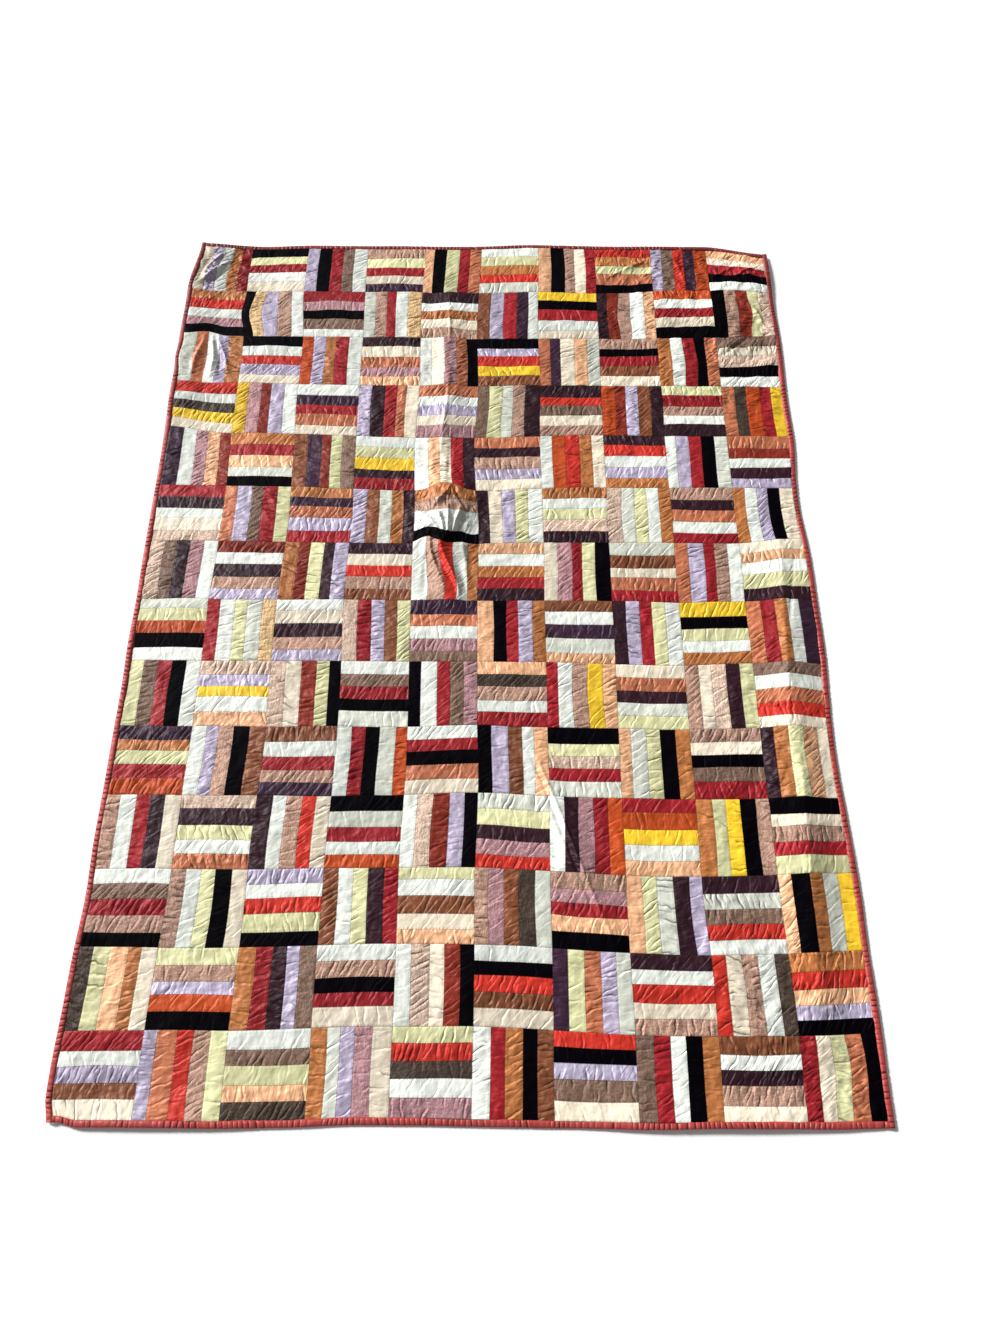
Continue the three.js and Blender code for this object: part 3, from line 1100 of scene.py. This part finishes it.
class QUILT_OT_backing(bpy.types.Operator):
    """Lays the plain cloth under the patchwork"""
    bl_idname = "quilt.backing"
    bl_label = "Lay the backing"

    def execute(self, context):
        sizes = context.scene.quilt_sizes
        steps = 8
        across_count, down_count = COLUMNS * steps + 1, ROWS * steps + 1
        down, across = np.mgrid[0:down_count, 0:across_count]
        x = (across / steps - COLUMNS / 2) * sizes.block
        y = (ROWS / 2 - down / steps) * sizes.block
        half = steps / 2
        hollow = bell((down % steps - half) / half) * bell((across % steps - half) / half)
        lowest, rise = 0.3 * MM, 0.9 * MM
        height = lowest + rise * (1 - hollow)
        points = lay(x, y, height, sizes.block)
        faces = grid_faces(across_count, down_count)[:, ::-1]
        piece = add_mesh("backing_cloth", points.reshape(-1, 3), faces)
        flat = np.stack([x + COLUMNS * sizes.block / 2, y + ROWS * sizes.block / 2], -1)
        flat = flat.reshape(-1, 2)
        add_uv(piece, STRIP_MAP, flat[faces])
        add_uv(piece, BAKE_MAP, flat[faces] / (ROWS * sizes.block))
        piece.data.materials.append(backing_material(context.scene.quilt_colours.backing))
        dress(piece, [SHEET_NODE])
        return {"FINISHED"}


class QUILT_OT_binding(bpy.types.Operator):
    """Folds the gathered satin strips over the quilt's four edges"""
    bl_idname = "quilt.binding"
    bl_label = "Bind the edges"

    def execute(self, context):
        scene = context.scene
        material = binding_material(scene.quilt_colours.binding)
        for seed, side in enumerate(SIDES, BINDING_SEED):
            self.fold_strip(side, seed, scene.quilt_sizes, scene.quilt_binding, material)
        return {"FINISHED"}

    def fold_strip(self, side, seed, sizes, binding, material):
        outward = SIDES[side]
        distance, half_run = ROWS * sizes.block / 2, COLUMNS * sizes.block / 2
        if outward[0]:
            run_past = 11.9 * MM
            distance, half_run = half_run, distance + run_past
        stations = round(2 * half_run / binding.step) + 1
        along = np.linspace(-half_run, half_run, stations)[:, None]
        out, height, takes = np.array(BINDING_SECTION).T[:, None, :]
        out, height = out * MM, height * MM
        rises = np.diff(height[0], prepend=0)

        phase, to_tuck, depth = self.gather_tucks(along, out, seed, binding)
        tuck_reach, edge_share, sway, lowest = 0.3, 0.5, 1.2 * MM, 0.15 * MM
        drawn_in = valley(to_tuck / tuck_reach) * depth
        between = 0.2 * MM * (0.5 - bell(to_tuck / 0.5))
        ripple = 0.25 * MM * soft_noise(along / 0.006, out / 0.004, 1, seed + 20)
        height = np.maximum(height + takes * (between + ripple - drawn_in), lowest)
        outer_face = out > 8 * MM
        out = out - takes * drawn_in * edge_share * outer_face
        run = along + takes * sway * soft_noise(along, out, 0.012, seed + 30)
        around = np.cumsum(np.hypot(np.diff(out[0], prepend=out[0, 0]), rises))

        reach = distance + out
        x = outward[0] * reach + abs(outward[1]) * run
        y = outward[1] * reach + abs(outward[0]) * run
        upper_side = height > 2 * MM
        swell = sizes.swell * soft_noise(x, y, 0.19, BINDING_SWELL_SEED) * upper_side
        points = lay(x, y, height + swell * 0.5, sizes.block)

        faces = grid_faces(len(BINDING_SECTION), stations)
        if side in ("right", "foot"):
            faces = faces[:, ::-1]
        piece = add_mesh(f"satin_binding_{side}", points.reshape(-1, 3), faces)
        piece.data.materials.append(material)
        self.add_map(piece, STRIP_MAP, faces, along + half_run, around)
        number = np.round(phase) - np.round(phase).min()
        across_tuck = number * CREASE_STEP + to_tuck * binding.tuck_spacing
        # how deep the tucks stand on the crease map, raised so that both their relief and their painted
        # shade show strongly
        tuck_relief_and_shade = 2.4
        self.add_map(piece, CREASE_MAP, faces, across_tuck, tuck_relief_and_shade * takes * depth / MM)
        # painted shade that darkens the binding towards the head
        fade_from, fade_reach, painted_head_shade = 0.2, 0.8, 0.4
        fade = smooth(np.clip((points[..., 1] - fade_from) / fade_reach, 0, 1))
        add_values(piece, PAINTED_SHADE_LAYER, "POINT", 1 - painted_head_shade * fade)
        dress(piece, [f"binding_{side}"])

    def gather_tucks(self, along, out, seed, binding):
        """The tucks counted along the strip, how far each point is from its nearest one in tucks,
        and how deep that one is."""
        level = np.zeros_like(along)
        shown_width, most_lean, unevenness = 12 * MM, 0.25, 0.8
        lean = most_lean * soft_noise(along, level, 0.08, seed + 40)
        phase = along / binding.tuck_spacing + unevenness * soft_noise(along, level, 0.045, seed)
        phase = phase + lean * (out / shown_width - 0.5)
        vigour = np.clip(0.6 + 0.8 * soft_noise(along, level, 0.02, seed + 10), 0, 1.2)
        return phase, phase - np.round(phase), binding.tuck_depth * vigour

    def add_map(self, piece, name, faces, first, second):
        places = np.stack(np.broadcast_arrays(first, second), -1).reshape(-1, 2)
        add_uv(piece, name, places[faces])


class QUILT_OT_stage(bpy.types.Operator):
    """Sets the floor, the lights and the camera"""
    bl_idname = "quilt.stage"
    bl_label = "Set the stage"

    def execute(self, context):
        stage = context.scene.quilt_stage
        self.lay_floor(stage)
        self.hang_lights(context, stage)
        self.place_camera(context)
        context.scene.view_settings.view_transform = "Standard"
        return {"FINISHED"}

    def lay_floor(self, stage):
        half = stage.floor_size / 2
        corners = np.array([[-half, -half, 0], [half, -half, 0], [half, half, 0], [-half, half, 0]])
        floor = add_mesh("floor", corners, np.array([[0, 1, 2, 3]]))
        material, tree, shader = new_material("pale_floor")
        shader.inputs["Base Color"].default_value = (*stage.floor, 1.0)
        shader.inputs["Roughness"].default_value = 0.9
        shader.inputs["Emission Color"].default_value = (1.0, 1.0, 1.0, 1.0)
        shader.inputs["Emission Strength"].default_value = stage.floor_glow
        floor.data.materials.append(material)

    def hang_lights(self, context, stage):
        self.hang_sun(context, "key_light", stage.key_strength, stage.key_height, stage)
        low_light = self.hang_sun(context, "low_light", stage.low_strength, stage.low_height, stage)
        low_light.visible_glossy = False
        world = bpy.data.worlds.new("soft_fill")
        world.use_nodes = True
        tree = world.node_tree
        fill = tree.nodes["Background"]
        fill.inputs["Color"].default_value = (1.0, 1.0, 1.0, 1.0)
        fill.inputs["Strength"].default_value = stage.fill
        backdrop = node(tree, "ShaderNodeBackground")
        backdrop.inputs["Color"].default_value = (*stage.floor, 1.0)
        seen = node(tree, "ShaderNodeMixShader")
        tree.links.new(node(tree, "ShaderNodeLightPath").outputs["Is Camera Ray"], seen.inputs["Fac"])
        tree.links.new(fill.outputs[0], seen.inputs[1])
        tree.links.new(backdrop.outputs[0], seen.inputs[2])
        tree.links.new(seen.outputs[0], tree.nodes["World Output"].inputs["Surface"])
        context.scene.world = world

    def hang_sun(self, context, name, strength, height, stage):
        """A broad light from the quilt's left and head, at a height above the floor."""
        light = bpy.data.lights.new(name, "SUN")
        light.energy = strength
        light.angle = stage.key_spread
        lamp = bpy.data.objects.new(name, light)
        towards_quilt = Vector((
            math.cos(stage.key_bearing) * math.cos(height),
            -math.sin(stage.key_bearing) * math.cos(height),
            -math.sin(height),
        ))
        lamp.matrix_world = towards_quilt.to_track_quat("-Z", "Y").to_matrix().to_4x4()
        context.scene.collection.objects.link(lamp)
        return lamp

    def place_camera(self, context):
        place = (0.0334, -0.970, 1.897)
        down, right, tilt = math.radians(66.9), math.radians(1.22), math.radians(1.39)
        camera = bpy.data.cameras.new("camera")
        camera.sensor_fit = "HORIZONTAL"
        camera.sensor_width = 36.0
        camera.lens = 33.7
        holder = bpy.data.objects.new("camera", camera)
        turn = Matrix.Rotation(-right, 4, "Z") @ Matrix.Rotation(math.pi / 2 - down, 4, "X")
        holder.matrix_world = Matrix.Translation(place) @ turn @ Matrix.Rotation(tilt, 4, "Z")
        context.scene.collection.objects.link(holder)
        context.scene.camera = holder


class QUILT_PT_sidebar(bpy.types.Panel):
    """Lists the quilt's pieces and settings"""
    bl_idname = "QUILT_PT_sidebar"
    bl_label = "Rail Fence Quilt"
    bl_space_type = "VIEW_3D"
    bl_region_type = "UI"
    bl_category = "Quilt"

    def draw(self, context):
        for operator in OPERATORS:
            self.layout.operator(operator.bl_idname)
        for name in SETTINGS:
            settings = getattr(context.scene, name)
            box = self.layout.box()
            for key in settings.__annotations__:
                box.prop(settings, key)


OPERATORS = (QUILT_OT_stage, QUILT_OT_patchwork, QUILT_OT_backing, QUILT_OT_binding)
SETTINGS = {
    "quilt_sizes": QuiltSizes,
    "quilt_binding": QuiltBinding,
    "quilt_stage": QuiltStage,
    "quilt_colours": QuiltColours,
}
CLASSES = (*SETTINGS.values(), *OPERATORS, QUILT_PT_sidebar)


def register():
    for item in CLASSES:
        bpy.utils.register_class(item)
    for name, group in SETTINGS.items():
        setattr(bpy.types.Scene, name, PointerProperty(type=group))


def unregister():
    for name in SETTINGS:
        delattr(bpy.types.Scene, name)
    for item in reversed(CLASSES):
        bpy.utils.unregister_class(item)


def main():
    register()
    bpy.ops.quilt.stage()
    bpy.ops.quilt.patchwork()
    bpy.ops.quilt.backing()
    bpy.ops.quilt.binding()


if __name__ == "__main__":
    main()
